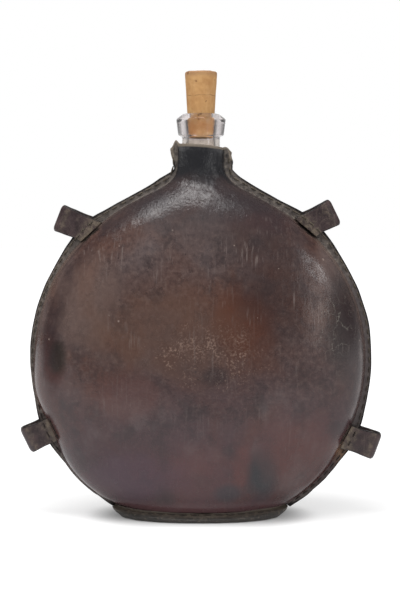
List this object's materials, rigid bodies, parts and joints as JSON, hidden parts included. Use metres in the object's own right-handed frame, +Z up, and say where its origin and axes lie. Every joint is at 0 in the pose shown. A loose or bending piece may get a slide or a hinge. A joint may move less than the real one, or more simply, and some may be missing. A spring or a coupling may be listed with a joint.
{
  "type": "leather-covered glass canteen",
  "caption": "Flattened round glass flask in a sewn, moulded leather cover, with a seam flange, folded strap loops, a leather base cap and a pull-out cork.",
  "frame": {"origin": "on the floor, under the middle of the base cap", "axes": "+Z up along the neck, +X to the right seen from the front, front face towards -Y"},
  "size_m": [0.2191, 0.0774, 0.2667],
  "materials": {
    "glass": "clear, with a faint lavender tint",
    "cork": "dry natural cork, with dark pores",
    "cover_leather": "dark red-brown, mottled, scuffed and half glossy",
    "base_leather": "worn olive brown, dull",
    "loop_leather": "worn brown, dull, with dark edges",
    "thread": "waxed linen, dark brown"
  },
  "bodies": {
    "canteen": {"glass_flask": "glass", "front_cover": "cover_leather", "back_cover": "cover_leather", "base_cap": "base_leather", "upper_left_loop": "loop_leather", "upper_right_loop": "loop_leather", "lower_left_loop": "loop_leather", "lower_right_loop": "loop_leather", "left_seam_thread_front": "thread", "left_seam_thread_back": "thread", "right_seam_thread_front": "thread", "right_seam_thread_back": "thread", "base_thread_front": "thread", "base_thread_back": "thread"},
    "cork": {"cork_stopper": "cork"}
  },
  "joints": [
    {"name": "cork_pull", "type": "slide", "parent": "canteen", "child": "cork", "axis": [0, 0, 1], "range_m": [0, 0.04]}
  ]
}
